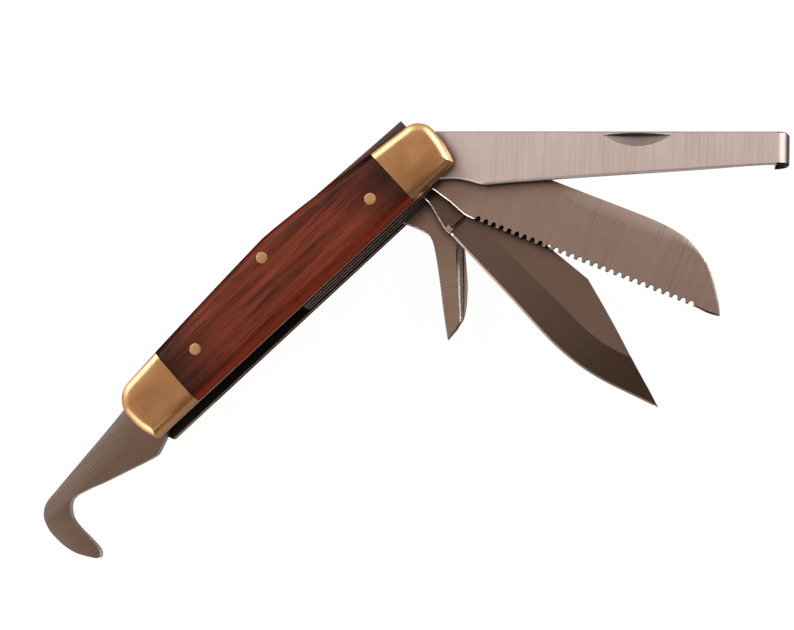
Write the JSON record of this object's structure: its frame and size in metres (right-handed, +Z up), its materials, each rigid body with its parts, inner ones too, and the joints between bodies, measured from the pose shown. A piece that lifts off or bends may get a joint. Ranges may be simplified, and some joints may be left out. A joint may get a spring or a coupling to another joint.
{
  "type": "folding horseman's knife",
  "caption": "Pocket knife with brass bolsters and wooden scales; a hoof knife, saw, clip blade and leather punch fold into one end, a hoof pick into the other.",
  "frame": {"origin": "middle of the resting face: the flat underside of the back scale, halfway between the bolster ends and on the handle's mid line", "axes": "+X along the handle to the end with the blades, +Y to the spring side (the back), +Z up through the thickness"},
  "size_m": [0.2101, 0.0996, 0.0224],
  "materials": {
    "scale_wood": "oiled reddish-brown wood, fine straight grain",
    "bolster_brass": "brushed brass, edges polished",
    "pin_brass": "brass, peened and polished flush",
    "liner_steel": "ground steel plate edges",
    "spring_steel": "ground spring steel",
    "hoof_steel": "fine cross-ground steel",
    "saw_steel": "satin steel",
    "main_steel": "satin steel",
    "punch_steel": "satin steel",
    "pick_steel": "satin steel"
  },
  "bodies": {
    "handle": {"front_scale": "scale_wood", "back_scale": "scale_wood", "front_blade_bolster": "bolster_brass", "front_pick_bolster": "bolster_brass", "back_blade_bolster": "bolster_brass", "back_pick_bolster": "bolster_brass", "blade_pivot_pin": "pin_brass", "pick_pivot_pin": "pin_brass", "centre_pin": "pin_brass", "front_scale_rivets": "pin_brass", "back_scale_rivets": "pin_brass", "front_liner": "liner_steel", "back_liner": "liner_steel", "hoof_saw_divider": "liner_steel", "saw_main_divider": "liner_steel", "main_punch_divider": "liner_steel", "hoof_spring": "spring_steel", "saw_spring": "spring_steel", "main_spring": "spring_steel", "punch_pick_spring": "spring_steel"},
    "hoof_knife": {"hoof_knife": "hoof_steel"},
    "saw_blade": {"saw_blade": "saw_steel"},
    "main_blade": {"main_blade": "main_steel"},
    "leather_punch": {"leather_punch": "punch_steel"},
    "hoof_pick": {"hoof_pick": "pick_steel"}
  },
  "joints": [
    {"name": "hoof_knife_pivot", "type": "hinge", "parent": "handle", "child": "hoof_knife", "pos_m": [0.046, -0.001, 0], "axis": [0, 0, 1], "range_deg": [-133, 44]},
    {"name": "saw_blade_pivot", "type": "hinge", "parent": "handle", "child": "saw_blade", "pos_m": [0.046, -0.001, 0], "axis": [0, 0, 1], "range_deg": [-111, 65]},
    {"name": "main_blade_pivot", "type": "hinge", "parent": "handle", "child": "main_blade", "pos_m": [0.046, -0.001, 0], "axis": [0, 0, 1], "range_deg": [-88.1, 91]},
    {"name": "leather_punch_pivot", "type": "hinge", "parent": "handle", "child": "leather_punch", "pos_m": [0.046, -0.001, 0], "axis": [0, 0, 1], "range_deg": [-51.7, 123]},
    {"name": "hoof_pick_pivot", "type": "hinge", "parent": "handle", "child": "hoof_pick", "pos_m": [-0.0475, -0.0005, 0], "axis": [0, 0, 1], "range_deg": [0, 161.5]}
  ]
}
